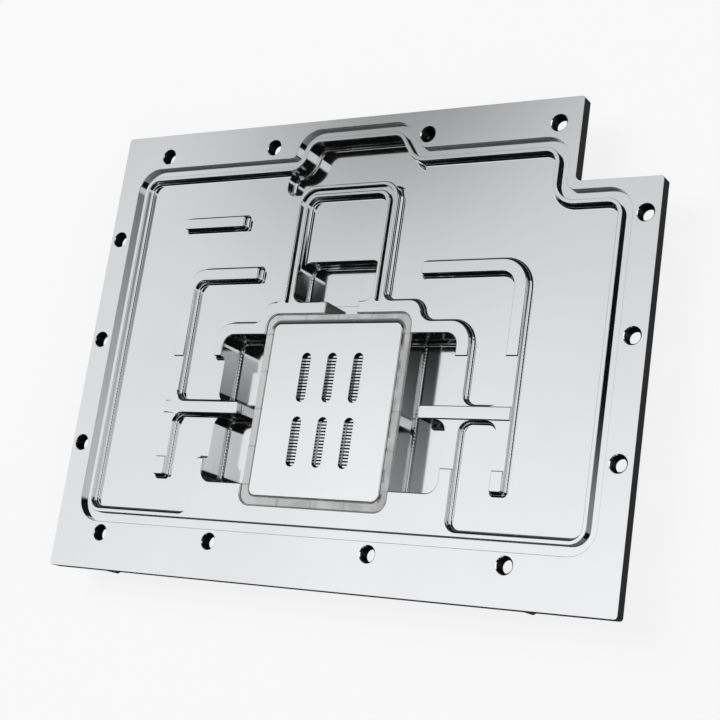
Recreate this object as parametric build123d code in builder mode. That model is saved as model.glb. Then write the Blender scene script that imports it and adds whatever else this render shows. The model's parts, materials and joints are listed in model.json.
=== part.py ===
from build123d import *
from math import radians, tan
import os

# Cold plate of a graphics card water block, seen from its water side.
# Millimetres, +Z up. The origin is under the middle of the plate, level with the ends of the standoffs.
# Places in the plane of the plate are measured from its lower left corner, x to the right and y up,
# and depths are measured down from its top face.

# Plate
plate_length = 160.0
plate_width = 120.0
plate_thickness = 3.4
plate_corner_radius = 0.8
notch_length = 21.65
notch_width = 21.25
notch_inner_radius = 1.6
standoff_height = 8.6

# Tapped holes for the cover screws, in two rows and two columns
thread_radius = 2.0
thread_mouth_radius = 2.2
thread_mouth_angle = 90
row_left_inset = 15.3
row_notch_inset = 5.85
row_bump_left_gap = 11.9
row_bump_right_gap = 8.15
bottom_row_y = 9.4
top_row_inset = 6.35
column_bottom_y = 33.05
column_notch_inset = 8.6
left_column_x = 3.15
right_column_inset = 3.5

# Flow field, the broad shallow pocket that the water runs through
field_depth = 2.0
field_foot = 0.85
field_left = 10.2
field_bottom = 15.95
field_right_inset = 10.25
field_top_inset = 13.4
field_notch_land = 5.7
field_corner_radius = 2.9
field_notch_radius = 6.0

# Widening of the flow field below the ports
port_centre_x = 76.15
bump_rise = 7.45
bump_left_reach = 13.55
bump_right_reach = 12.8
bump_left_slope = 2.0
bump_right_slope = 5.2
bump_corner_radius = 3.0
bump_foot_radius = 5.4

# O-ring groove and the ridge between it and the flow field
ridge_width = 1.1
oring_groove_width = 2.5
oring_groove_depth = 1.4

# Jet plate, its soft frame and the recess that holds them
jet_centre_x = 78.85
jet_centre_y = 43.5
jet_plate_length = 37.8
jet_plate_height = 44.2
jet_plate_thickness = 1.0
jet_plate_corner_radius = 2.0
jet_plate_sink = 0.3
jet_frame_width = 2.25
jet_frame_sink = 0.1
jet_fit = 0.06
jet_slot_length = 12.4
jet_slot_width = 2.6
jet_slot_pitch = 7.6
jet_slot_row_pitch = 16.2
jet_slot_columns = 3
jet_slot_rows = 2

# Fine cooling fins under the jet plate
fin_pitch = 0.8
fin_gap = 0.4
fin_height = 4.0
fin_field_inset = 2.6

# Deep outlet pockets on both sides of the fins
outlet_width = 12.95
outlet_height = 38.15
outlet_depth = 8.4
outlet_corner_radius = 3.0
outlet_joint_radius = 2.8
outlet_foot = 1.05

# Deep inlet pocket, the channel from it to the fins, and the port pocket
inlet_bottom_gap = 3.15
inlet_height = 11.15
inlet_depth = 7.0
inlet_corner_radius = 2.7
feed_channel_width = 9.35
feed_channel_shift = 3.25
feed_channel_depth = 4.8
port_pocket_depth = 5.5
port_pocket_left_reach = 20.45
port_pocket_right_reach = 20.7
port_pocket_bottom_inset = 19.6
port_pocket_corner_radius = 2.4
deep_foot = 0.85

# Land that is left at full height round the fins, and the bridge that parts inlet and outlet
land_left_wall = 2.4
land_right_wall = 3.45
land_width = 3.2
land_outer_radius = 5.6
land_left_radius = 4.6
land_left_shoulder = 1.7
land_right_shoulder = 1.5
land_right_slope = 1.25
land_shoulder_radius = 3.4
rib_half_width = 1.65
window_upper_end = 13.5
window_lower_end = 13.1
bridge_width = 30.0
bridge_bar_width = 3.3
bridge_top_inset = 17.9
bridge_outer_radius = 4.7
bridge_inner_radius = 2.8
bridge_foot_radius = 2.3
bridge_groove_width = 1.2
bridge_groove_depth = 0.9
bridge_groove_inset = 1.05

# Guide bars in the flow field
bar_width = 3.25
bar_end_radius = 0.6
bar_joint_radius = 2.8
bar_step_depth = 0.3
short_bar_left = 25.5
short_bar_right = 44.9
short_bar_top_gap = 11.5
short_bar_width = 3.05
left_bar_x = 29.2
left_bar_end_x = 52.2
left_bar_rise = 0.15
left_bar_bottom = 25.5
left_bar_outer_radius = 6.0
left_rib_reach = 8.05
right_bar_gap = 9.75
right_bar_end_x = 100.7
right_bar_clearance = 6.35
right_bar_bottom = 25.4
right_bar_outer_radius = 7.0
right_rib_reach = 7.7

# Underside
pocket_floor = 1.4
block_wall = 2.7
port_body_wall = 1.7
die_face_length = 34.0
die_face_width = 28.0
die_face_rise = 0.3
strip_width = 10.0
strip_length = 56.0
strip_depth = 8.6
strip_centre_y = 58.0
strip_gap = 14.5

# Hexagonal standoffs, pressed into pockets in the underside
standoff_flats = 5.5
standoff_thread_radius = 1.25
standoff_thread_depth = 6.0
standoff_seat_depth = 1.2
standoff_fit = 0.02
standoff_bottom_y = 3.5
standoff_top_inset = 4.3
standoff_bottom_left_x = 13.6
standoff_bottom_right_inset = 24.8
standoff_top_left_x = 24.0
standoff_top_right_inset = 42.0

# Share of a run that the rounding of one of its corners may take, and of a depth that its foot may take
run_share = 0.495
foot_share = 0.9

# Levels and places that follow from the sizes above
top_level = standoff_height + plate_thickness
top_face = Plane(origin=(-plate_length / 2, -plate_width / 2, top_level))
underside = top_face.offset(-plate_thickness)
field_right = plate_length - field_right_inset
field_top = plate_width - field_top_inset
notch_x = plate_length - notch_length
notch_y = plate_width - notch_width
field_notch_x = notch_x - field_notch_land
field_notch_y = notch_y - field_notch_land
bump_left = port_centre_x - bump_left_reach
bump_right = port_centre_x + bump_right_reach
bump_top = field_top + bump_rise

recess_length = jet_plate_length + 2 * jet_frame_width
recess_height = jet_plate_height + 2 * jet_frame_width
recess_depth = jet_plate_sink + jet_plate_thickness
recess_corner_radius = jet_plate_corner_radius + jet_frame_width / 2
recess_left = jet_centre_x - recess_length / 2
recess_right = jet_centre_x + recess_length / 2
recess_top = jet_centre_y + recess_height / 2
fin_field_length = jet_plate_length - 2 * fin_field_inset
fin_field_height = jet_plate_height - 2 * fin_field_inset
fin_gap_count = int(fin_field_height / fin_pitch)

outlet_left = recess_left - outlet_width
outlet_right = recess_right + outlet_width
outlet_bottom = jet_centre_y - outlet_height / 2
outlet_top = jet_centre_y + outlet_height / 2
inlet_bottom = recess_top + inlet_bottom_gap
inlet_top = inlet_bottom + inlet_height
bridge_left = port_centre_x - bridge_width / 2
bridge_right = port_centre_x + bridge_width / 2
bridge_top = plate_width - bridge_top_inset
inlet_left = bridge_left + bridge_bar_width
inlet_right = bridge_right - bridge_bar_width
feed_channel_x = port_centre_x + feed_channel_shift

port_pocket_left = port_centre_x - port_pocket_left_reach
port_pocket_right = port_centre_x + port_pocket_right_reach
port_pocket_bottom = plate_width - port_pocket_bottom_inset

land_left = outlet_left - land_left_wall
land_right = outlet_right + land_right_wall
land_top = recess_top + land_width
shoulder_top = outlet_top + land_width
rib_bottom = jet_centre_y - rib_half_width
rib_top = jet_centre_y + rib_half_width
window_top = jet_centre_y + window_upper_end
window_bottom = jet_centre_y - window_lower_end
window_overlap_x = outlet_left + outlet_width / 2

short_bar_top = field_top - short_bar_top_gap
short_bar_bottom = short_bar_top - short_bar_width
left_bar_top = (shoulder_top + short_bar_bottom + bar_width) / 2 + left_bar_rise
right_bar_top = land_top + right_bar_clearance + bar_width
right_bar_x = land_right + right_bar_gap + bar_width
left_rib_start_x = left_bar_x + bar_width / 2
left_rib_end_x = outlet_left + left_rib_reach
right_rib_start_x = right_bar_x - bar_width / 2
right_rib_end_x = outlet_right - right_rib_reach

row_columns = [
    row_left_inset,
    bump_left - row_bump_left_gap,
    bump_right + row_bump_right_gap,
    notch_x - row_notch_inset,
]
column_top_y = notch_y - column_notch_inset
column_rows = [column_bottom_y, (column_bottom_y + column_top_y) / 2, column_top_y]
hole_places = [(x, y) for x in row_columns for y in (bottom_row_y, plate_width - top_row_inset)]
hole_places += [(x, y) for x in (left_column_x, plate_length - right_column_inset) for y in column_rows]
standoff_places = [
    (standoff_bottom_left_x, standoff_bottom_y),
    (plate_length - standoff_bottom_right_inset, standoff_bottom_y),
    (standoff_top_left_x, plate_width - standoff_top_inset),
    (plate_length - standoff_top_right_inset, plate_width - standoff_top_inset),
]

os.makedirs("parts", exist_ok=True)


def rounded_outline(corners):
    """Draw a closed outline through (x, y, radius) corners, each radius held to the runs beside it."""
    points = [Vector(x, y) for x, y, _ in corners]
    radii = []
    for i, (_, _, radius) in enumerate(corners):
        before = points[i - 1] - points[i]
        after = points[(i + 1) % len(points)] - points[i]
        room = run_share * min(before.length, after.length)
        radii.append(min(radius, room * tan(radians(before.get_angle(after)) / 2)))
    return FilletPolyline(*points, radius=radii, close=True)


def slab(left, right, bottom, top, radius, mode=Mode.ADD):
    """Draw a rectangle between its four sides, with rounded corners."""
    held = min(radius, run_share * min(right - left, top - bottom))
    with Locations(((left + right) / 2, (bottom + top) / 2)):
        RectangleRounded(right - left, top - bottom, held, mode=mode)


def box(left, right, bottom, top, mode=Mode.ADD):
    """Draw a rectangle between its four sides, with sharp corners."""
    with Locations((left, bottom)):
        Rectangle(right - left, top - bottom, align=(Align.MIN, Align.MIN), mode=mode)


def milled_pocket(outline, depth, foot):
    """Make the cutter of a pocket below the top face, with the bevelled foot that the mill leaves."""
    with BuildPart() as cutter:
        with BuildSketch(top_face):
            add(outline)
        extrude(amount=-depth)
        floor = cutter.faces().sort_by(Axis.Z)[0]
        chamfer(floor.edges(), length=min(foot, foot_share * depth))
    return cutter.part


# Outline of the flow field, which the ridge and the O-ring groove follow
with BuildSketch() as field:
    with BuildLine():
        rounded_outline([
            (field_left, field_bottom, field_corner_radius),
            (field_right, field_bottom, field_corner_radius),
            (field_right, field_notch_y, field_corner_radius),
            (field_notch_x, field_notch_y, field_notch_radius),
            (field_notch_x, field_top, field_corner_radius),
            (bump_right + bump_right_slope, field_top, bump_foot_radius),
            (bump_right, bump_top, bump_corner_radius),
            (bump_left, bump_top, bump_corner_radius),
            (bump_left - bump_left_slope, field_top, bump_foot_radius),
            (field_left, field_top, field_corner_radius),
        ])
    make_face()

# Land round the fins, with a window in its left wall, and the bridge over the inlet pocket
with BuildSketch() as land:
    with BuildLine():
        rounded_outline([
            (land_left, field_bottom - land_width, 0),
            (land_right, field_bottom - land_width, 0),
            (land_right, shoulder_top, land_outer_radius),
            (recess_right + land_right_shoulder + land_right_slope, shoulder_top, land_shoulder_radius),
            (recess_right + land_right_shoulder, land_top, land_shoulder_radius),
            (bridge_right, land_top, bridge_foot_radius),
            (bridge_right, bridge_top, bridge_outer_radius),
            (bridge_left, bridge_top, bridge_outer_radius),
            (bridge_left, land_top, bridge_foot_radius),
            (recess_left - land_left_shoulder, land_top, land_shoulder_radius),
            (recess_left - land_left_shoulder, shoulder_top, land_shoulder_radius),
            (land_left, shoulder_top, land_left_radius),
            (land_left, window_top, bar_end_radius),
            (window_overlap_x, window_top, 0),
            (window_overlap_x, window_bottom, 0),
            (land_left, window_bottom, bar_end_radius),
        ])
    make_face()

# Guide bars: one short bar, and on each side a bent bar with a rib that reaches over the outlet pocket
with BuildSketch() as guide_bars:
    slab(short_bar_left, short_bar_right, short_bar_bottom, short_bar_top, bar_end_radius)
    with BuildLine():
        rounded_outline([
            (left_bar_x, left_bar_bottom, bar_end_radius),
            (left_bar_x + bar_width, left_bar_bottom, bar_end_radius),
            (left_bar_x + bar_width, left_bar_top - bar_width, left_bar_outer_radius - bar_width),
            (left_bar_end_x, left_bar_top - bar_width, bar_end_radius),
            (left_bar_end_x, left_bar_top, bar_end_radius),
            (left_bar_x, left_bar_top, left_bar_outer_radius),
        ])
    make_face()
    with BuildLine():
        rounded_outline([
            (right_bar_x, right_bar_bottom, bar_end_radius),
            (right_bar_x, right_bar_top, right_bar_outer_radius),
            (right_bar_end_x, right_bar_top, bar_end_radius),
            (right_bar_end_x, right_bar_top - bar_width, bar_end_radius),
            (right_bar_x - bar_width, right_bar_top - bar_width, right_bar_outer_radius - bar_width),
            (right_bar_x - bar_width, right_bar_bottom, bar_end_radius),
        ])
    make_face()

with BuildSketch() as ribs:
    slab(left_rib_start_x, left_rib_end_x, rib_bottom, rib_top, bar_end_radius)
    slab(right_rib_end_x, right_rib_start_x, rib_bottom, rib_top, bar_end_radius)

# Flow field without the land and the bars, its corners at the ribs rounded by the mill
with BuildSketch() as flow_field:
    add(field.sketch)
    add(land.sketch, mode=Mode.SUBTRACT)
    add(guide_bars.sketch, mode=Mode.SUBTRACT)
    add(ribs.sketch, mode=Mode.SUBTRACT)
    rib_joints = [
        (land_left, field_bottom),
        (land_right, field_bottom),
        (left_bar_x + bar_width, rib_bottom),
        (left_bar_x + bar_width, rib_top),
        (land_right, rib_bottom),
        (land_right, rib_top),
        (right_bar_x - bar_width, rib_bottom),
        (right_bar_x - bar_width, rib_top),
    ]
    for joint in rib_joints:
        fillet(flow_field.vertices().sort_by_distance(joint)[0], radius=bar_joint_radius)

with BuildSketch() as bridge_floor:
    slab(inlet_left, inlet_right, inlet_bottom, bridge_top - bridge_bar_width, bridge_inner_radius)

# Deep pockets, the outlets cut off square along the recess of the jet plate
with BuildSketch() as left_outlet:
    slab(outlet_left, recess_left + outlet_corner_radius, outlet_bottom, outlet_top, outlet_corner_radius)
    box(outlet_left, recess_left, outlet_bottom, outlet_top, Mode.INTERSECT)
    add(ribs.sketch, mode=Mode.SUBTRACT)
    for joint in ((outlet_left, rib_bottom), (outlet_left, rib_top)):
        fillet(left_outlet.vertices().sort_by_distance(joint)[0], radius=outlet_joint_radius)

with BuildSketch() as right_outlet:
    slab(recess_right - outlet_corner_radius, outlet_right, outlet_bottom, outlet_top, outlet_corner_radius)
    box(recess_right, outlet_right, outlet_bottom, outlet_top, Mode.INTERSECT)
    add(ribs.sketch, mode=Mode.SUBTRACT)
    for joint in ((outlet_right, rib_bottom), (outlet_right, rib_top)):
        fillet(right_outlet.vertices().sort_by_distance(joint)[0], radius=outlet_joint_radius)

with BuildSketch() as inlet_pocket:
    slab(inlet_left, inlet_right, inlet_bottom, inlet_top, inlet_corner_radius)

with BuildSketch() as port_pocket:
    add(field.sketch)
    box(port_pocket_left, port_pocket_right, port_pocket_bottom, plate_width, Mode.INTERSECT)
    add(land.sketch, mode=Mode.SUBTRACT)
    # Inwards and out again, which rounds each corner as a mill of that radius does
    offset(amount=-port_pocket_corner_radius)
    offset(amount=port_pocket_corner_radius)

flow_field_cut = milled_pocket(flow_field.sketch, field_depth, field_foot)
bridge_floor_cut = milled_pocket(bridge_floor.sketch, field_depth, field_foot)
left_outlet_cut = milled_pocket(left_outlet.sketch, outlet_depth, outlet_foot)
right_outlet_cut = milled_pocket(right_outlet.sketch, outlet_depth, outlet_foot)
inlet_cut = milled_pocket(inlet_pocket.sketch, inlet_depth, deep_foot)
port_cut = milled_pocket(port_pocket.sketch, port_pocket_depth, deep_foot)

# Route of the sealing groove in the top of the bridge
groove_offset = bridge_groove_inset + bridge_groove_width / 2
groove_left = bridge_left + groove_offset
groove_right = bridge_right - groove_offset
groove_top = bridge_top - groove_offset
groove_end_y = land_top + bridge_groove_width / 2
with BuildLine() as bridge_groove_line:
    FilletPolyline(
        (groove_left, groove_end_y),
        (groove_left, groove_top),
        (groove_right, groove_top),
        (groove_right, groove_end_y),
        radius=bridge_outer_radius - bridge_groove_inset,
    )

# The cold plate, milled from one block
with BuildPart() as cold_plate:
    # Flange with its notch
    with BuildSketch(underside):
        with BuildLine():
            rounded_outline([
                (0, 0, plate_corner_radius),
                (plate_length, 0, plate_corner_radius),
                (plate_length, notch_y, plate_corner_radius),
                (notch_x, notch_y, notch_inner_radius),
                (notch_x, plate_width, plate_corner_radius),
                (0, plate_width, plate_corner_radius),
            ])
        make_face()
    extrude(amount=plate_thickness)

    # Contact block under the fins and the deep pockets, with the raised face that meets the chip
    with BuildSketch(underside):
        box(
            outlet_left - block_wall,
            outlet_right + block_wall,
            outlet_bottom - block_wall,
            inlet_top + block_wall,
        )
    extrude(amount=-(outlet_depth + pocket_floor - plate_thickness))
    with BuildSketch(top_face.offset(-outlet_depth - pocket_floor)):
        with Locations((jet_centre_x, jet_centre_y)):
            Rectangle(die_face_length, die_face_width)
    extrude(amount=-die_face_rise)

    # Body under the port pocket
    with BuildSketch(underside):
        box(
            port_pocket_left - port_body_wall,
            port_pocket_right + port_body_wall,
            port_pocket_bottom - port_body_wall,
            bump_top + port_body_wall,
        )
    extrude(amount=-(port_pocket_depth + pocket_floor - plate_thickness))

    # Contact strips for the power stages on both sides
    with BuildSketch(underside):
        with Locations(
            (outlet_left - block_wall - strip_gap - strip_width / 2, strip_centre_y),
            (outlet_right + block_wall + strip_gap + strip_width / 2, strip_centre_y),
        ):
            Rectangle(strip_width, strip_length)
    extrude(amount=-(strip_depth - plate_thickness))

    # Pockets on the water side
    for cut in (flow_field_cut, bridge_floor_cut, left_outlet_cut, right_outlet_cut, inlet_cut, port_cut):
        add(cut, mode=Mode.SUBTRACT)

    # Recess of the jet plate and its frame, the feed channel and the gaps between the fins
    with BuildSketch(top_face):
        with Locations((jet_centre_x, jet_centre_y)):
            RectangleRounded(recess_length, recess_height, recess_corner_radius)
    extrude(amount=-recess_depth, mode=Mode.SUBTRACT)
    fin_field_top = jet_centre_y + fin_field_height / 2
    with BuildSketch(top_face):
        with Locations((feed_channel_x, (fin_field_top + inlet_bottom + inlet_corner_radius) / 2)):
            Rectangle(feed_channel_width, inlet_bottom + inlet_corner_radius - fin_field_top)
    extrude(amount=-feed_channel_depth, mode=Mode.SUBTRACT)
    with BuildSketch(top_face.offset(-recess_depth)):
        with Locations((jet_centre_x, jet_centre_y)):
            with GridLocations(0, fin_pitch, 1, fin_gap_count):
                Rectangle(fin_field_length, fin_gap)
    extrude(amount=-fin_height, mode=Mode.SUBTRACT)

    # O-ring groove round the flow field, and the sealing groove of the bridge
    with BuildSketch(top_face):
        offset(field.sketch, amount=ridge_width + oring_groove_width, mode=Mode.ADD)
        offset(field.sketch, amount=ridge_width, mode=Mode.SUBTRACT)
    extrude(amount=-oring_groove_depth, mode=Mode.SUBTRACT)
    with BuildSketch(top_face):
        trace(bridge_groove_line.line, line_width=bridge_groove_width)
        with Locations((groove_left, groove_end_y), (groove_right, groove_end_y)):
            Circle(bridge_groove_width / 2)
    extrude(amount=-bridge_groove_depth, mode=Mode.SUBTRACT)

    # Steps in the tops of the bars beside the outlets, clear of the ribs
    right_step_left = outlet_right - outlet_joint_radius
    with BuildSketch(top_face):
        for left, right in ((left_bar_x, left_bar_x + bar_width), (right_step_left, right_bar_x)):
            box(left, right, window_bottom, rib_bottom)
            box(left, right, rib_top, window_top)
    extrude(amount=-bar_step_depth, mode=Mode.SUBTRACT)

    # Tapped holes through the flange, with a chamfered mouth
    with Locations(top_face):
        with Locations(*hole_places):
            CounterSinkHole(
                thread_radius,
                thread_mouth_radius,
                depth=plate_thickness,
                counter_sink_angle=thread_mouth_angle,
            )

    # Pockets that the standoffs are pressed into
    with BuildSketch(underside):
        with Locations(*standoff_places):
            RegularPolygon(standoff_flats / 2 + standoff_fit, 6, major_radius=False, rotation=30)
    extrude(amount=standoff_seat_depth, mode=Mode.SUBTRACT)
cold_plate.part.label = "cold_plate"
export_step(cold_plate.part, "parts/cold_plate.step")

# Jet plate, a thin sheet with rows of slots that spray onto the fins
with BuildPart() as jet_plate:
    with BuildSketch(top_face.offset(-recess_depth)):
        with Locations((jet_centre_x, jet_centre_y)):
            RectangleRounded(jet_plate_length, jet_plate_height, jet_plate_corner_radius)
            with GridLocations(jet_slot_pitch, jet_slot_row_pitch, jet_slot_columns, jet_slot_rows):
                SlotOverall(jet_slot_length, jet_slot_width, rotation=90, mode=Mode.SUBTRACT)
    extrude(amount=jet_plate_thickness)
jet_plate.part.label = "jet_plate"
export_step(jet_plate.part, "parts/jet_plate.step")

# Soft frame that fills the gap between the jet plate and its recess
with BuildPart() as jet_plate_frame:
    with BuildSketch(top_face.offset(-recess_depth)):
        with Locations((jet_centre_x, jet_centre_y)):
            RectangleRounded(
                recess_length - 2 * jet_fit,
                recess_height - 2 * jet_fit,
                recess_corner_radius - jet_fit,
            )
            RectangleRounded(
                jet_plate_length + 2 * jet_fit,
                jet_plate_height + 2 * jet_fit,
                jet_plate_corner_radius + jet_fit,
                mode=Mode.SUBTRACT,
            )
    extrude(amount=recess_depth - jet_plate_sink - jet_frame_sink)
jet_plate_frame.part.label = "jet_plate_frame"
export_step(jet_plate_frame.part, "parts/jet_plate_frame.step")

# Standoffs between the plate and the circuit board, with a thread in the lower end
with BuildPart() as standoffs:
    with BuildSketch(underside.offset(standoff_seat_depth)):
        with Locations(*standoff_places):
            RegularPolygon(standoff_flats / 2, 6, major_radius=False, rotation=30)
    extrude(amount=-(standoff_height + standoff_seat_depth))
    with BuildSketch(underside.offset(-standoff_height)):
        with Locations(*standoff_places):
            Circle(standoff_thread_radius)
    extrude(amount=standoff_thread_depth, mode=Mode.SUBTRACT)
standoffs.part.label = "standoffs"
export_step(standoffs.part, "parts/standoffs.step")
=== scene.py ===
import json
from math import pi, radians

import bmesh
import bpy
from mathutils import Euler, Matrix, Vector


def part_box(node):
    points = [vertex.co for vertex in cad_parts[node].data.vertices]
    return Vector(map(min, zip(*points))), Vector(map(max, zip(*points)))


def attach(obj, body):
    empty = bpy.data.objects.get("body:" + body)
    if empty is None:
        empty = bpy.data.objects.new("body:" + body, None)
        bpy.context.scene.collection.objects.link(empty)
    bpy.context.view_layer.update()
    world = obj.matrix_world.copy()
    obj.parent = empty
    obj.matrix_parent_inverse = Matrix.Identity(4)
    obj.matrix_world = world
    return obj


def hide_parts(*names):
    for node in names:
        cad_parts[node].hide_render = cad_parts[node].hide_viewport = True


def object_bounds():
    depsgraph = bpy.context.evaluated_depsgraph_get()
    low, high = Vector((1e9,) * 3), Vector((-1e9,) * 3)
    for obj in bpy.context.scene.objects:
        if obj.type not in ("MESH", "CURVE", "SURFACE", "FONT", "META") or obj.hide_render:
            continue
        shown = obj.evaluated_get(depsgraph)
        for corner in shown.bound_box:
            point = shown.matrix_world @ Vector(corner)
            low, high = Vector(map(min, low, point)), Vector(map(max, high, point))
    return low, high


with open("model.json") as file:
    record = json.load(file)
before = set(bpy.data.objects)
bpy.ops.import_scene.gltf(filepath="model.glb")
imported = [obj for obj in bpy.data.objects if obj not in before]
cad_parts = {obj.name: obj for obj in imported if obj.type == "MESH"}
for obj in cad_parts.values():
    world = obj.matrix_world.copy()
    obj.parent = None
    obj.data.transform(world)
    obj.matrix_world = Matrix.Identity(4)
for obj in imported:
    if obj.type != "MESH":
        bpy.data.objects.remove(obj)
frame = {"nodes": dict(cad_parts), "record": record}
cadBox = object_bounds()
record = frame["record"]
mm = 0.001


# Shader wiring

class Wire:
    # one output socket that can be used in sums
    def __init__(self, finish, socket):
        self.finish = finish
        self.socket = socket

    def maths(self, operation, first, second=0.0):
        return self.finish.add("Math", {"operation": operation}, {0: first, 1: second})

    def __add__(self, other):
        return self.maths("ADD", self, other)

    def __radd__(self, other):
        return self.maths("ADD", other, self)

    def __sub__(self, other):
        return self.maths("SUBTRACT", self, other)

    def __rsub__(self, other):
        return self.maths("SUBTRACT", other, self)

    def __mul__(self, other):
        return self.maths("MULTIPLY", self, other)

    def __rmul__(self, other):
        return self.maths("MULTIPLY", other, self)

    def __truediv__(self, other):
        return self.maths("DIVIDE", self, other)

    def __rtruediv__(self, other):
        return self.maths("DIVIDE", other, self)

    def __pow__(self, other):
        return self.maths("POWER", self, other)

    def absolute(self):
        return self.maths("ABSOLUTE", self)

    def sine(self):
        return self.maths("SINE", self)

    def largest(self, other):
        return self.maths("MAXIMUM", self, other)

    def held(self, low=0.0, high=1.0):
        return self.finish.add("Clamp", {}, {"Value": self, "Min": low, "Max": high})

    def step(self, start, end):
        # 0 below start and 1 above end, with an eased rise between them
        values = {"Value": self, "From Min": start, "From Max": end}
        return self.finish.add("MapRange", {"interpolation_type": "SMOOTHSTEP"}, values)

    def window(self, start, end, soft):
        # 1 between start and end, with soft borders
        return self.step(start - soft, start + soft) * (1 - self.step(end - soft, end + soft))


class Finish:
    # the node tree of a material or of the world
    def __init__(self, owner):
        self.owner = owner
        owner.use_nodes = True
        self.tree = owner.node_tree
        self.tree.nodes.clear()

    def add(self, kind, settings=None, values=None, output=0):
        node = self.tree.nodes.new("ShaderNode" + kind)
        for name, value in (settings or {}).items():
            setattr(node, name, value)
        for name, value in (values or {}).items():
            if isinstance(value, Wire):
                self.tree.links.new(value.socket, node.inputs[name])
            else:
                node.inputs[name].default_value = value
        return Wire(self, node.outputs[output]) if len(node.outputs) else node

    def parts(self, vector):
        # the x, y and z of a vector
        node = self.add("SeparateXYZ", {}, {0: vector}).socket.node
        return [Wire(self, socket) for socket in node.outputs]

    def objectPlace(self):
        return self.add("TexCoord", {}, {}, "Object")

    def noise(self, place, scale, detail=2.0, roughness=0.5, stretch=(1, 1, 1)):
        spread = self.add("Mapping", {}, {"Vector": place, "Scale": stretch})
        values = {"Vector": spread, "Scale": scale, "Detail": detail, "Roughness": roughness}
        return self.add("TexNoise", {}, values)

    def mixColour(self, factor, first, second):
        node = self.add("Mix", {"data_type": "RGBA"}, {0: factor, 6: first, 7: second}).socket.node
        return Wire(self, node.outputs[2])


def grey(value, tint=(1.0, 1.0, 1.0)):
    return (value * tint[0], value * tint[1], value * tint[2], 1.0)


# Studio

camera = {
    "lens": 77.058,
    "sensor": 36.0,
    "place": (0.20646025, -0.08767997, 0.31441449),
    "turn": (18.208336, 31.073733, 9.746553),
    "clip": (0.01, 50.0),
}


def makeCamera():
    data = bpy.data.cameras.new("photoCamera")
    data.lens = camera["lens"]
    data.sensor_width = camera["sensor"]
    data.clip_start, data.clip_end = camera["clip"]
    cameraObject = bpy.data.objects.new("photoCamera", data)
    cameraObject.location = camera["place"]
    cameraObject.rotation_euler = Euler([radians(angle) for angle in camera["turn"]])
    bpy.context.scene.collection.objects.link(cameraObject)
    bpy.context.scene.camera = cameraObject


def linkPiece(shape, name):
    # turns a finished shape into an object of the scene
    mesh = bpy.data.meshes.new(name)
    shape.to_mesh(mesh)
    shape.free()
    piece = bpy.data.objects.new(name, mesh)
    bpy.context.scene.collection.objects.link(piece)
    return piece


# World and floor

surround = {
    "fill": 0.62,          # light that comes from no lamp or card in particular
    "reach": 8.0,          # radius of the floor and of the tent over it
    "floorSides": 64,
    "paint": (0.90, 0.94),
    "cloudScale": 3.0,
    "cloudDetail": 3.0,
    "whiteShare": 0.85,    # share of the floor's white that shadows can't dim
}


def showsBackground(finish):
    # 1 for rays that should meet the plain white background
    seen = finish.add("LightPath", {}, {}, "Is Camera Ray")
    rays = seen.socket.node.outputs
    for name in ("Is Glossy Ray", "Is Transmission Ray"):
        seen = seen + Wire(finish, rays[name])
    return seen.held()


def makeWorld():
    world = bpy.data.worlds.new("whiteSurround")
    bpy.context.scene.world = world
    finish = Finish(world)
    plain = finish.add("Background", {}, {"Color": grey(surround["fill"]), "Strength": 1.0})
    white = finish.add("Background", {}, {"Color": grey(1.0), "Strength": 1.0})
    mixed = finish.add("MixShader", {}, {0: showsBackground(finish), 1: plain, 2: white})
    finish.add("OutputWorld", {}, {"Surface": mixed})


def makeFloor():
    shape = bmesh.new()
    bmesh.ops.create_circle(shape, cap_ends=True, radius=surround["reach"],
                             segments=surround["floorSides"])
    floor = linkPiece(shape, "studioFloor")
    finish = Finish(bpy.data.materials.new("paleFloor"))
    cloud = finish.noise(finish.objectPlace(), surround["cloudScale"], surround["cloudDetail"])
    darker, lighter = surround["paint"]
    paint = finish.mixColour(cloud, grey(darker), grey(lighter))
    matt = finish.add("BsdfDiffuse", {}, {"Color": paint})
    white = finish.add("Emission", {}, {"Color": grey(1.0), "Strength": 1.0})
    share = showsBackground(finish) * surround["whiteShare"]
    mixed = finish.add("MixShader", {}, {0: share, 1: matt, 2: white})
    finish.add("OutputMaterial", {}, {"Surface": mixed})
    floor.data.materials.append(finish.owner)
    print("floor is down")


# Tent of lights and cloths. Turns are degrees to the left from +X, and heights are degrees above the floor.

tent = {
    "sides": 48,
    "rings": 24,
    "foot": 0.05,             # how far below the floor it ends
    "swing": 0.12,            # how far its plain light rises and falls, twice on the way round
    "lift": 0.18,             # how much brighter it is overhead
    "liftHeights": (70, 80),
}

softbox = {
    "turns": (120, 179.6),
    "turnSoft": 2,
    "heights": (41, 80),
    "heightSoft": 2,
    "level": 0.86,
    "levelAt": (150, 52),
    "perTurn": 0.0075,
    "perHeight": 0.0073,
    "dip": 0.43,
    "dipAt": (140, 50),
    "dipSize": (12, 5),
    "range": (0.3, 1.1),
}

blackRing = {
    "heights": (21, 80),
    "soft": 2,
    "level": 0.004,
}

curtains = {
    "backTurns": (40, 190),
    "backLevel": 0.012,
    "backFoot": 0.12,         # how much paler the back one is near the floor
    "footHeights": (14, 22),
    "frontTurns": (183, 260),
    "frontLevel": 0.004,
    "soft": 3,
    "top": (78, 82),
}

paleCloth = {
    "turns": (152, 179.6),
    "soft": 3,
    "top": (37, 43),
    "level": 0.85,
}

sideCard = {
    "turns": (-8, 28),
    "turnSoft": 2.5,
    "heights": (40, 77),
    "heightSoft": 2,
    "level": 0.76,
    "lift": 0.19,
    "liftHeights": (46, 50),
    "fadeTurns": (13, 27),
    "fade": 0.62,
    "fadeHeights": (51, 57),
}

stripLight = {
    "turns": (-12, 40),
    "turnSoft": 3,
    "heights": (18, 36),
    "heightSoft": 2,
    "level": 1.3,
}


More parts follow.
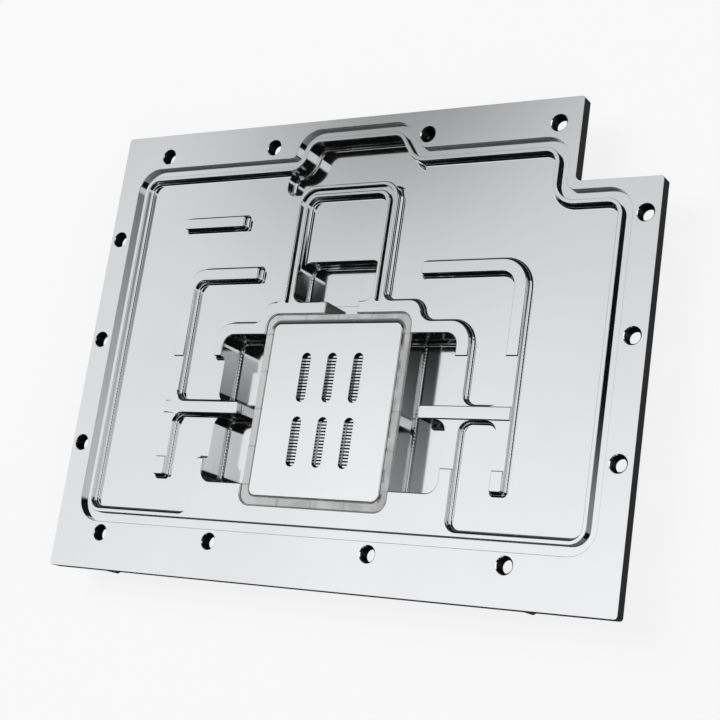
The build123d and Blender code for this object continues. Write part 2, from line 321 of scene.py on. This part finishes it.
def cardArea(card, turn, height):
    # 1 in the directions that a card or light covers
    return turn.window(*card["turns"], card["turnSoft"]) * height.window(*card["heights"], card["heightSoft"])


def softboxLight(azimuth, height):
    # brighter upwards and towards its near end, with a dimmer patch
    levelTurn, levelHeight = softbox["levelAt"]
    dipTurn, dipHeight = softbox["dipAt"]
    dipWidth, dipRise = softbox["dipSize"]
    slope = softbox["level"] + softbox["perTurn"] * (azimuth - levelTurn)
    slope = slope + softbox["perHeight"] * (height - levelHeight)
    across = (azimuth - dipTurn) / dipWidth
    up = (height - dipHeight) / dipRise
    dip = across.maths("EXPONENT", (across * across + up * up) * -1)
    return (slope - softbox["dip"] * dip).held(*softbox["range"])


def sideCardLight(turn, height):
    # darker upwards and away from the front
    level = sideCard["level"] + sideCard["lift"] * height.step(*sideCard["liftHeights"])
    level = level * (1 - turn.step(*sideCard["fadeTurns"]))
    return level * (1 - sideCard["fade"] * height.step(*sideCard["fadeHeights"]))


def tentLight(finish):
    # brightness of the tent by direction
    x, y, z = finish.parts(finish.add("VectorMath", {"operation": "NORMALIZE"}, {0: finish.objectPlace()}))
    turn = x.maths("ARCTAN2", y, x) * (180 / pi)
    azimuth = turn + 360 * (1 - turn.step(-0.01, 0.01))    # the same turn, from 0 to 360
    height = z.maths("ARCSINE", z) * (180 / pi)

    # black cloth in a ring round the lights, and down to the floor from the back right to the front left
    inRing = height.window(*blackRing["heights"], blackRing["soft"])
    below = 1 - height.step(*curtains["top"])
    onBack = azimuth.window(*curtains["backTurns"], curtains["soft"]) * below
    onFront = azimuth.window(*curtains["frontTurns"], curtains["soft"]) * below
    backLevel = curtains["backLevel"] + curtains["backFoot"] * (1 - height.step(*curtains["footHeights"]))

    # pale cloth that hangs from the softbox to the floor
    inCloth = azimuth.window(*paleCloth["turns"], paleCloth["soft"]) * (1 - height.step(*paleCloth["top"]))

    light = surround["fill"] + tent["swing"] * (turn * (pi / 90)).sine()
    light = light + tent["lift"] * height.step(*tent["liftHeights"])
    layers = [
        (inRing, blackRing["level"]),
        (onBack, backLevel),
        (onFront, curtains["frontLevel"]),
        (inCloth, paleCloth["level"]),
        (cardArea(softbox, azimuth, height), softboxLight(azimuth, height)),
        (cardArea(sideCard, turn, height), sideCardLight(turn, height)),
        (cardArea(stripLight, turn, height), stripLight["level"]),
    ]
    for mask, level in layers:
        light = light + (level - light) * mask
    return light


def makeTent():
    shape = bmesh.new()
    bmesh.ops.create_uvsphere(shape, u_segments=tent["sides"], v_segments=tent["rings"],
                              radius=surround["reach"])
    bmesh.ops.bisect_plane(shape, geom=shape.verts[:] + shape.edges[:] + shape.faces[:], dist=1e-6,
                           plane_co=(0, 0, -tent["foot"]), plane_no=(0, 0, -1), clear_outer=True)
    dome = linkPiece(shape, "studioTent")
    finish = Finish(bpy.data.materials.new("tentCloth"))
    glow = finish.add("Emission", {}, {"Color": tentLight(finish), "Strength": 1.0})
    finish.add("OutputMaterial", {}, {"Surface": glow})
    dome.data.materials.append(finish.owner)
    dome.visible_camera = False
    dome.visible_transmission = False
    dome.visible_shadow = False
    print("tent is up")


# painted shadow of the plate on the floor, which only reflections show
paintedShadowCard = {
    "reach": 0.075,       # how far it reaches out from the plate
    "height": 0.2 * mm,
    "level": 0.03,
    "lift": 0.75,         # how much paler it gets towards its border
    "liftFrom": 0.015,
}


def makePaintedShadowCard():
    # card on the floor under the plate, painted with the plate's shadow (darkest near the plate, paler
    # towards its border), which only mirror finishes see
    low, high = cadBox
    reach = paintedShadowCard["reach"]
    middle = (low + high) / 2
    size = high - low
    shape = bmesh.new()
    bmesh.ops.create_grid(shape, x_segments=1, y_segments=1, size=0.5)
    bmesh.ops.scale(shape, vec=(size.x + 2 * reach, size.y + 2 * reach, 1), verts=shape.verts)
    bmesh.ops.translate(shape, vec=(middle.x, middle.y, paintedShadowCard["height"]), verts=shape.verts)
    card = linkPiece(shape, "paintedShadowCards")
    finish = Finish(bpy.data.materials.new("paintedShadowCard"))
    x, y, _ = finish.parts(finish.objectPlace())
    away = (x.absolute() - size.x / 2).largest(y.absolute() - size.y / 2)
    # painted shadow: dark round the plate, paler further out
    shade = paintedShadowCard["level"] + paintedShadowCard["lift"] * away.step(paintedShadowCard["liftFrom"], reach)
    glow = finish.add("Emission", {}, {"Color": shade, "Strength": 1.0})
    finish.add("OutputMaterial", {}, {"Surface": glow})
    card.data.materials.append(finish.owner)
    card.visible_camera = False
    card.visible_diffuse = False
    card.visible_transmission = False
    card.visible_shadow = False


lamps = [
    {"name": "keyLamp", "place": (-0.55, 0.45, 1.1), "size": 0.9, "watts": 7.0},
    {"name": "fillLamp", "place": (0.7, -0.6, 0.9), "size": 1.1, "watts": 3.5},
]


def makeLamps():
    for lamp in lamps:
        data = bpy.data.lights.new(lamp["name"], "AREA")
        data.shape = "DISK"
        data.size = lamp["size"]
        data.energy = lamp["watts"]
        lampObject = bpy.data.objects.new(lamp["name"], data)
        lampObject.location = lamp["place"]
        lampObject.rotation_euler = (-Vector(lamp["place"])).to_track_quat("-Z", "Y").to_euler()
        lampObject.visible_glossy = False
        bpy.context.scene.collection.objects.link(lampObject)
    print("lamps are lit")


# Places of the tapped holes

def holePlaces(start):
    # the centres of the holes of every bolt pattern whose name starts this way
    places = []
    for mount in record["mounts"]:
        if mount["name"].startswith(start):
            middleX, middleY, _ = mount["pos_m"]
            spreadX = mount["dims"]["spacing_x_mm"] * mm / 2
            spreadY = mount["dims"].get("spacing_y_mm", 0) * mm / 2
            rows = (-spreadY, spreadY) if spreadY else (0,)
            places += [Vector((middleX + x, middleY + y)) for x in (-spreadX, spreadX) for y in rows]
    return places


coverHoles = holePlaces("cover_screws")
boardHoles = holePlaces("board_screws")


def atHole(place, reach):
    return any((place.xy - hole).length < reach for hole in coverHoles)


# Turning the cad solids into finished meshes

facets = {
    "mergeReach": 0.002 * mm,
    "levelReach": 0.005 * mm,    # how far from a level an edge's ends may lie
    "dissolveAngle": 0.4,
    "sharpAngle": 60,
    "flat": 0.995,               # least upward part of a floor's normal
    "upright": 0.1,              # most upward part of a wall's normal
    "facing": 0.9,               # least upward part of a face that looks up or down
    "alike": 0.9,                # least likeness of two faces that are shaded as one
    "holeReach": 2.35 * mm,      # faces nearer to a hole keep their bevels
}


def mergedShape(nodeName):
    shape = bmesh.new()
    shape.from_mesh(frame["nodes"][nodeName].data)
    bmesh.ops.remove_doubles(shape, verts=shape.verts, dist=facets["mergeReach"])
    bmesh.ops.dissolve_limit(shape, angle_limit=radians(facets["dissolveAngle"]),
                             use_dissolve_boundaries=False, verts=shape.verts, edges=shape.edges)
    return shape


def breakEdges(shape, edges, width, segments=1, clamped=True):
    bmesh.ops.bevel(shape, geom=edges, offset=width, offset_type="OFFSET", affect="EDGES", segments=segments,
                    profile=0.5, material=-1, clamp_overlap=clamped, loop_slide=True)


def sharpEdges(shape, wanted, least=facets["sharpAngle"]):
    # the outer edges that turn by the least angle or more
    found = []
    for edge in shape.edges:
        if edge.is_manifold and edge.is_convex and edge.calc_face_angle() > radians(least) and wanted(edge):
            found.append(edge)
    return found


def isLevel(edge, level):
    return all(abs(vert.co.z - level) < facets["levelReach"] for vert in edge.verts)


def facesUp(edge):
    return any(face.normal.z > facets["facing"] for face in edge.link_faces)


def facesDown(edge):
    return any(face.normal.z < -facets["facing"] for face in edge.link_faces)


def faceKind(face):
    if face.normal.z > facets["flat"]:
        return "up"
    if face.normal.z < -facets["flat"]:
        return "down"
    return "wall" if abs(face.normal.z) < facets["upright"] else "slope"


def cornerNormal(face, vert, kinds):
    # the shading normal of one corner, so that slopes between a floor and a wall look rounded
    kind = kinds[face]
    if kind in ("up", "down"):
        return face.normal.copy()
    around = list(vert.link_faces)
    if kind == "slope" and not atHole(face.calc_center_median(), facets["holeReach"]):
        flat = "up" if face.normal.z > 0 else "down"
        if any(kinds[other] == flat for other in around):
            return Vector((0, 0, 1 if flat == "up" else -1))
        level = Vector((face.normal.x, face.normal.y, 0)).normalized()
        walls = [other.normal * other.calc_area() ** 0.5 for other in around
                 if kinds[other] == "wall" and other.normal.dot(level) > 0.5]
        if walls:
            return sum(walls, Vector()).normalized()
    alike = [other.normal for other in around
             if kinds[other] == kind and other.normal.dot(face.normal) > facets["alike"]]
    return sum(alike, Vector()).normalized() if alike else face.normal.copy()


def finishShape(shape, name):
    bmesh.ops.triangulate(shape, faces=[face for face in shape.faces if len(face.verts) > 4])
    shape.normal_update()
    kinds = {face: faceKind(face) for face in shape.faces}
    normals = []
    for face in shape.faces:
        face.smooth = True
        for loop in face.loops:
            normals.append(cornerNormal(face, loop.vert, kinds))
    piece = linkPiece(shape, name)
    piece.data.normals_split_custom_set(normals)
    return piece


def dressPiece(piece, material, slot, *nodes):
    piece.data.materials.clear()
    piece.data.materials.append(material)
    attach(piece, "root")
    if nodes:
        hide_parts(*nodes)


# Metal finishes

traces = {
    "smearScale": 38.0,
    "smearDetail": 4.0,
    "smearBreak": 0.6,
    "smearMiddle": 0.45,
    "smearGloss": 0.035,           # how much smears change the roughness
    "grainScale": 900.0,
    "grainStretch": (1, 0.12, 1),
    "grainMiddle": 0.5,
    "grainGloss": 0.02,
    "cloudScale": 14.0,
    "cloudShare": 0.6,             # what clouds add to the dull patches, the rest comes from smears
    "dullFrom": (0.35, 0.7),
    "dull": 0.95,
    "glossRange": (0.03, 0.5),
    "underTilt": (-0.7, -0.3),     # upward part of the normal, from an underside to a wall
    "wallTilt": (0.15, 0.4),       # and from a wall to a slope
}


def metalFinish(name, look):
    finish = Finish(bpy.data.materials.new(name))
    place = finish.objectPlace()
    tiltX, _, tiltZ = finish.parts(finish.add("NewGeometry", {}, {}, "Normal"))
    smear = finish.noise(place, traces["smearScale"], traces["smearDetail"], traces["smearBreak"])
    grain = finish.noise(place, traces["grainScale"], stretch=traces["grainStretch"])
    clouds = finish.noise(place, traces["cloudScale"])
    under = 1 - tiltZ.step(*traces["underTilt"])
    wall = 1 - tiltZ.absolute().step(*traces["wallTilt"])
    roughness = look["roughness"] + traces["smearGloss"] * (smear - traces["smearMiddle"])
    roughness = roughness + traces["grainGloss"] * (grain - traces["grainMiddle"])
    roughness = roughness + (look["wallRoughness"] - look["roughness"]) * wall
    roughness = roughness + (look["underRoughness"] - look["roughness"]) * under
    height = grain * (look["streakDepth"] / mm)
    if "rippleWidth" in look:
        x, y, z = finish.parts(place)
        deep = 1 - z.step(*look["deepHeights"])
        level = tiltZ.step(*look["levelTilt"])
        roughness = roughness + (look["deepRoughness"] - look["roughness"]) * deep * level
        slope = tiltZ.window(*look["slopeTilt"], look["slopeSoft"])
        slope = slope * tiltX.absolute().step(*look["slopeSide"])
        along = (x + y + z * look["rippleRise"]) * (2 * pi / look["rippleWidth"])
        wave = along.sine() * 0.5 + 0.5
        height = height + wave * slope * (look["rippleDepth"] / mm)
    patches = clouds * traces["cloudShare"] + smear * (1 - traces["cloudShare"])
    patches = patches.step(*traces["dullFrom"])
    dull = grey(traces["dull"], look["colour"])
    bright = grey(1.0, look["colour"])
    bumps = finish.add("Bump", {}, {"Strength": 1.0, "Distance": mm, "Height": height})
    shader = finish.add("BsdfPrincipled", {}, {
        "Base Color": finish.mixColour(patches, dull, bright),
        "Metallic": look["metallic"],
        "Roughness": roughness.held(*traces["glossRange"]),
        "Normal": bumps,
    })
    finish.add("OutputMaterial", {}, {"Surface": shader})
    return finish.owner


# Cold plate

nickel = {
    "colour": (0.795, 0.803, 0.812),
    "metallic": 1.0,
    "roughness": 0.075,
    "underRoughness": 0.24,
    "wallRoughness": 0.07,
    "streakDepth": 0.0012 * mm,
    "deepRoughness": 0.1,          # floors of the deep pockets
    "deepHeights": (cadBox[1].z - 4.5 * mm, cadBox[1].z - 3.6 * mm),
    "levelTilt": (0.9, 0.98),
    "rippleWidth": 0.85 * mm,      # marks of the cutter on the feet of the pockets
    "rippleDepth": 0.022 * mm,
    "rippleRise": 0.8,
    "slopeTilt": (0.25, 0.93),
    "slopeSoft": 0.08,
    "slopeSide": (0.2, 0.5),
}

grooveWall = {
    "colour": (0.75, 0.76, 0.77),
    "metallic": 0.35,
    "roughness": 0.3,
    "underRoughness": 0.3,
    "wallRoughness": 0.3,
    "streakDepth": 0.0012 * mm,
}

coldPlate = {
    "top": cadBox[1].z,
    "rimDepth": 3.4 * mm,
    "grooveDepth": 1.4 * mm,
    "depthReach": 0.03 * mm,       # how far a wall's depth may be off
    "footReach": 0.01 * mm,        # how far the lowest point of a groove's wall may be off
    "mattFacing": 0.5,             # least part of a matt wall's normal that points along -Y
    "holeMouth": 2.3 * mm,
    "leastAngle": 30,
    "wallTilt": 0.3,               # most upward part of the normal of a wall below an edge
    "edgeBreak": 0.3 * mm,
    "rimBreak": 0.06 * mm,
    "grooveBreak": 0.1 * mm,
    "underBreak": 0.2 * mm,
    "tipCosine": 0.85,
    "tipReach": 1.6 * mm,          # edges this near to a narrow tip stay sharp
}


def sharpTips(edges):
    # the points where two edges meet at a narrow angle, because a wide break would fold over there
    tips = []
    edgeSet = set(edges)
    for vert in {vert for edge in edges for vert in edge.verts}:
        ways = [edge.other_vert(vert).co - vert.co for edge in vert.link_edges if edge in edgeSet]
        if len(ways) == 2 and ways[0].normalized().dot(ways[1].normalized()) > coldPlate["tipCosine"]:
            tips.append(vert.co.copy())
    return tips


def wallDepth(edge):
    # how far the wall below an edge goes down
    walls = [face for face in edge.link_faces if abs(face.normal.z) < coldPlate["wallTilt"]]
    return max((edge.verts[0].co.z - min(vert.co.z for vert in face.verts) for face in walls), default=0)


def ofDepth(edges, depth):
    return [edge for edge in edges if abs(wallDepth(edge) - depth) < coldPlate["depthReach"]]


def isNear(edge, places, reach):
    return any((vert.co - place).length < reach for vert in edge.verts for place in places)


def makeColdPlate():
    shape = mergedShape("cold_plate")
    onTop = sharpEdges(shape, lambda edge: isLevel(edge, coldPlate["top"]), coldPlate["leastAngle"])
    onTop = [edge for edge in onTop if not atHole(edge.verts[0].co, coldPlate["holeMouth"])]
    tips = sharpTips(onTop)
    groove = ofDepth(onTop, coldPlate["grooveDepth"])
    rim = ofDepth(onTop, coldPlate["rimDepth"])
    narrow = set(groove + rim)
    wide = [edge for edge in onTop if edge not in narrow and not isNear(edge, tips, coldPlate["tipReach"])]
    for edges, width in ((wide, "edgeBreak"), (rim, "rimBreak"), (groove, "grooveBreak")):
        breakEdges(shape, [edge for edge in edges if edge.is_valid], coldPlate[width], clamped=False)
        shape.normal_update()
    breakEdges(shape, sharpEdges(shape, facesDown), coldPlate["underBreak"])
    piece = finishShape(shape, "polishedPlate")
    dressPiece(piece, metalFinish("polishedNickel", nickel), "nickel_plating", "cold_plate")

    # the groove's walls that face -Y have a matt finish of their own
    piece.data.materials.append(metalFinish("grooveNickel", grooveWall))
    bottom = coldPlate["top"] - coldPlate["grooveDepth"]
    for face in piece.data.polygons:
        lowest = min(piece.data.vertices[corner].co.z for corner in face.vertices)
        isWall = face.normal.y < -coldPlate["mattFacing"] and abs(face.normal.z) < facets["upright"]
        if isWall and abs(lowest - bottom) < coldPlate["footReach"]:
            face.material_index = 1
    print("cold plate has", len(piece.data.polygons), "faces")


# Jet plate

jetSheet = {
    "colour": (0.835, 0.845, 0.852),
    "metallic": 1.0,
    "roughness": 0.10,
    "underRoughness": 0.2,
    "wallRoughness": 0.16,
    "streakDepth": 0.0016 * mm,
    "edgeBreak": 0.36 * mm,
    "slotBreak": 0.1 * mm,
    "border": 3 * mm,              # width of the plain border round the slots
}


def makeJetPlate():
    shape = mergedShape("jet_plate")
    low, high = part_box("jet_plate")
    border = jetSheet["border"]
    middle = (low + high) / 2
    inner = (high - low) / 2 - Vector((border, border, 0))

    def inSlots(vert):
        return abs(vert.co.x - middle.x) < inner.x and abs(vert.co.y - middle.y) < inner.y

    slots = [edge for edge in sharpEdges(shape, facesUp) if inSlots(edge.verts[0])]
    breakEdges(shape, slots, jetSheet["slotBreak"])
    rims = sharpEdges(shape, lambda edge: facesUp(edge) and not any(inSlots(vert) for vert in edge.verts))
    breakEdges(shape, rims, jetSheet["edgeBreak"])
    piece = finishShape(shape, "sprayPlate")
    dressPiece(piece, metalFinish("platedSheet", jetSheet), "plated_sheet", "jet_plate")
    print("jet plate is in")


# Soft frame

softFrame = {
    "colour": (0.975, 0.98, 0.98),
    "shade": 0.72,                 # darkest of the cloudy patches
    "roughness": 0.06,
    "hazeGloss": 0.08,             # how much haze adds to the roughness
    "lightBend": 1.41,
    "clearness": 0.2,
    "width": 2.25 * mm,
    "cornerRadius": 2.0 * mm,
    "edgeRound": 0.32 * mm,
    "markColour": (0.55, 0.56, 0.57),
    "markShare": 0.75,
    "markPitch": 9.6 * mm,
    "markWidth": 0.28 * mm,
    "markSoft": (0.2, 0.9),        # where a mark starts and ends to fade, in widths from its middle
    "sideFrom": (-0.35 * mm, -0.05 * mm),
    # colour, share and width of the painted shade line between the frame and the sheet
    "shadeLineColour": (0.05, 0.05, 0.055),
    "shadeLineShare": 0.85,
    "shadeLineWidth": 1.1 * mm,
    "shadeLineFrom": (1.9, 1.4),        # "shadeLineFrom": (1.9, 1.4), # where the painted shade line starts below the frame's top, in widths of the frame
    "hazeScale": 260.0,
    "hazeRange": (0.4, 0.6),
    "flowScale": 120.0,
    "flowRange": (0.35, 0.65),
    "detail": 3.0,
    "bumpDepth": 0.05 * mm,
    "bumpShare": 0.4,
}


def thinMarks(across):
    # 1 on the thin marks that cross the frame at even steps
    turns = across / softFrame["markPitch"] + 100.5
    offset = (turns.maths("FRACT", turns) - 0.5).absolute()
    full, gone = [share * softFrame["markWidth"] / softFrame["markPitch"] for share in softFrame["markSoft"]]
    return 1 - offset.step(full, gone)


def softFrameFinish():
    finish = Finish(bpy.data.materials.new("clearSilicone"))
    place = finish.objectPlace()
    low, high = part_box("jet_plate_frame")
    width = softFrame["width"]
    radius = softFrame["cornerRadius"]
    x, y, _ = finish.parts(place)
    acrossX = x - (low.x + high.x) / 2
    acrossY = y - (low.y + high.y) / 2
    outX = acrossX.absolute() - ((high.x - low.x) / 2 - width)
    outY = acrossY.absolute() - ((high.y - low.y) / 2 - width)
    onSides = outX.step(*softFrame["sideFrom"])
    mark = (thinMarks(acrossX) * (1 - onSides)).largest(thinMarks(acrossY) * onSides)

    # cloudy silicone with clear patches, and the whole left side painted pale as painted light
    haze = finish.noise(place, softFrame["hazeScale"], softFrame["detail"])
    flow = finish.noise(place, softFrame["flowScale"], softFrame["detail"], 0.6)
    onLeft = 1 - x.step(low.x + width, low.x + 1.5 * width)
    # onLeft makes the whole left side pale: painted light
    clear = flow.step(*softFrame["flowRange"]).largest(onLeft)
    cloudy = grey(softFrame["shade"], softFrame["colour"])
    pale = finish.mixColour(clear, cloudy, grey(1.0, softFrame["colour"]))

    # painted shade: a dark line along the frame's inner edge at the top, and in patches on the right, where
    # shade falls between the frame and the sheet
    roundX = (outX + radius).largest(0.0)
    roundY = (outY + radius).largest(0.0)
    reach = (roundX * roundX + roundY * roundY) ** 0.5 - radius
    start, end = softFrame["shadeLineFrom"]
    onTop = y.step(high.y - start * width, high.y - end * width)
    shadedSides = onTop.largest((1 - onLeft) * onSides * haze.step(*softFrame["hazeRange"]))
    shadeLine = shadedSides * (1 - reach.step(0.5 * softFrame["shadeLineWidth"], softFrame["shadeLineWidth"]))

    colour = finish.mixColour(mark * softFrame["markShare"], pale, grey(1.0, softFrame["markColour"]))
    # the painted shade line darkens the colour
    colour = finish.mixColour(shadeLine * softFrame["shadeLineShare"], colour, grey(1.0, softFrame["shadeLineColour"]))
    dents = {"Strength": softFrame["bumpShare"], "Distance": softFrame["bumpDepth"], "Height": haze + mark}
    shader = finish.add("BsdfPrincipled", {}, {
        "Base Color": colour,
        "Roughness": softFrame["roughness"] + softFrame["hazeGloss"] * haze,
        "IOR": softFrame["lightBend"],
        "Transmission Weight": softFrame["clearness"],
        "Normal": finish.add("Bump", {}, dents),
    })
    finish.add("OutputMaterial", {}, {"Surface": shader})
    return finish.owner


def makeSoftFrame():
    shape = mergedShape("jet_plate_frame")
    breakEdges(shape, sharpEdges(shape, facesUp), softFrame["edgeRound"], 3)
    piece = finishShape(shape, "clearFrame")
    dressPiece(piece, softFrameFinish(), "soft_frame", "jet_plate_frame")
    print("soft frame is in")


# Standoffs

standoff = {
    "colour": (0.60, 0.59, 0.57),
    "metallic": 1.0,
    "roughness": 0.22,
    "underRoughness": 0.2,
    "wallRoughness": 0.26,
    "streakDepth": 0.003 * mm,
    "edgeBreak": 0.25 * mm,
    "leastAngle": 30,
}


def makeStandoffs():
    shape = mergedShape("standoffs")
    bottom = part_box("standoffs")[0].z
    atEnd = sharpEdges(shape, lambda edge: isLevel(edge, bottom), standoff["leastAngle"])
    breakEdges(shape, atEnd, standoff["edgeBreak"])
    piece = finishShape(shape, "hexStandoffs")
    dressPiece(piece, metalFinish("platedBrass", standoff), "standoff_plating", "standoffs")
    print("standoffs are on")


# Threads

# near-black colour of the rim threads: painted shade inside the tapped holes
threadPaintedShade = {
    "colour": (0.055, 0.055, 0.06),
    "metallic": 1.0,
    "roughness": 0.36,
    "underRoughness": 0.36,
    "wallRoughness": 0.36,
    "streakDepth": 0.002 * mm,
}

rimThread = {
    "bore": 2.0 * mm,
    "pitch": 0.7 * mm,
    "ridge": 0.38 * mm,
    "start": coldPlate["top"] - coldPlate["rimDepth"] + 0.36 * mm,
    "turns": 3.6,
    "steps": 24,
}

standoffThread = {
    "bore": 1.25 * mm,
    "pitch": 0.5 * mm,
    "ridge": 0.16 * mm,
    "start": 0.5 * mm,
    "turns": 10,
    "steps": 16,
}

tooth = {
    "sink": 0.03 * mm,             # how far its foot goes into the wall of the bore
    "footShare": 0.495,            # half its width at the foot, as a share of the pitch
    "crestShare": 0.125,
}


def cutThread(shape, centre, thread):
    # one tooth with a flat crest, wound up the bore
    sunk = thread["bore"] + tooth["sink"]
    crest = thread["bore"] - thread["ridge"]
    half = thread["pitch"] * tooth["footShare"]
    flat = thread["pitch"] * tooth["crestShare"]
    corners = []
    for radius, rise in ((sunk, -half), (crest, -flat), (crest, flat), (sunk, half)):
        corners.append(shape.verts.new((centre.x + radius, centre.y, thread["start"] + rise)))
    face = shape.faces.new(corners)
    bmesh.ops.spin(shape, geom=corners + list(face.edges) + [face], cent=(centre.x, centre.y, 0),
                   axis=(0, 0, 1), dvec=(0, 0, thread["pitch"] / thread["steps"]),
                   angle=2 * pi * thread["turns"], steps=int(thread["turns"] * thread["steps"]))


def makeThreads(name, centres, thread, material, slot):
    shape = bmesh.new()
    for centre in centres:
        cutThread(shape, centre, thread)
    bmesh.ops.recalc_face_normals(shape, faces=shape.faces)
    dressPiece(linkPiece(shape, name), material, slot)


def makeAllThreads():
    # the rim threads are near black: painted shade in the holes
    paintedShadeNickel = metalFinish("shadedThreadNickel", threadPaintedShade)
    brass = metalFinish("threadBrass", standoff)
    makeThreads("rimThreads", coverHoles, rimThread, paintedShadeNickel, "nickel_plating")
    makeThreads("standoffThreads", boardHoles, standoffThread, brass, "standoff_plating")
    print("threads are cut")


makeCamera()
makeWorld()
makeFloor()
makeTent()
makePaintedShadowCard()
makeLamps()
makeColdPlate()
makeJetPlate()
makeSoftFrame()
makeStandoffs()
makeAllThreads()

bpy.context.scene.view_settings.view_transform = "Standard"
